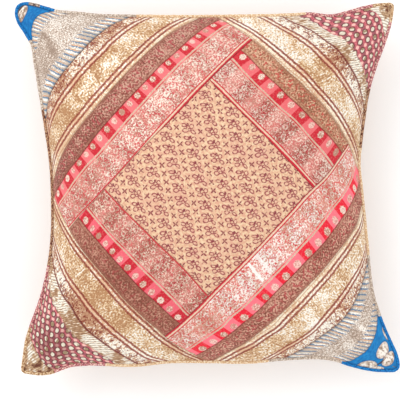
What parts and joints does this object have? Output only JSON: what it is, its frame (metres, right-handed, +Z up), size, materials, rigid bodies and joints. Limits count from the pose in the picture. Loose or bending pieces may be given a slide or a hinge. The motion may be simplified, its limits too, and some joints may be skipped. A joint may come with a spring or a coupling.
{
  "type": "filled patchwork cushion cover",
  "caption": "Square scatter cushion in a patchwork cover of brocade and zari sari borders set on the diamond, with drawn-in sides, pointed ears and a corded edge.",
  "frame": {"origin": "middle of the box round the cushion, on the surface that it lies on", "axes": "+Z up, out of the face through its crown; +Y towards the top edge of the face, +X towards its right edge"},
  "size_m": [0.4028, 0.3905, 0.136],
  "materials": {
    "patchwork_cloth": "woven brocade with metal thread",
    "piping_cloth": "bias-cut cloth round a cord"
  },
  "bodies": {
    "root": {"cushion": "patchwork_cloth", "piping": "piping_cloth"}
  },
  "joints": []
}
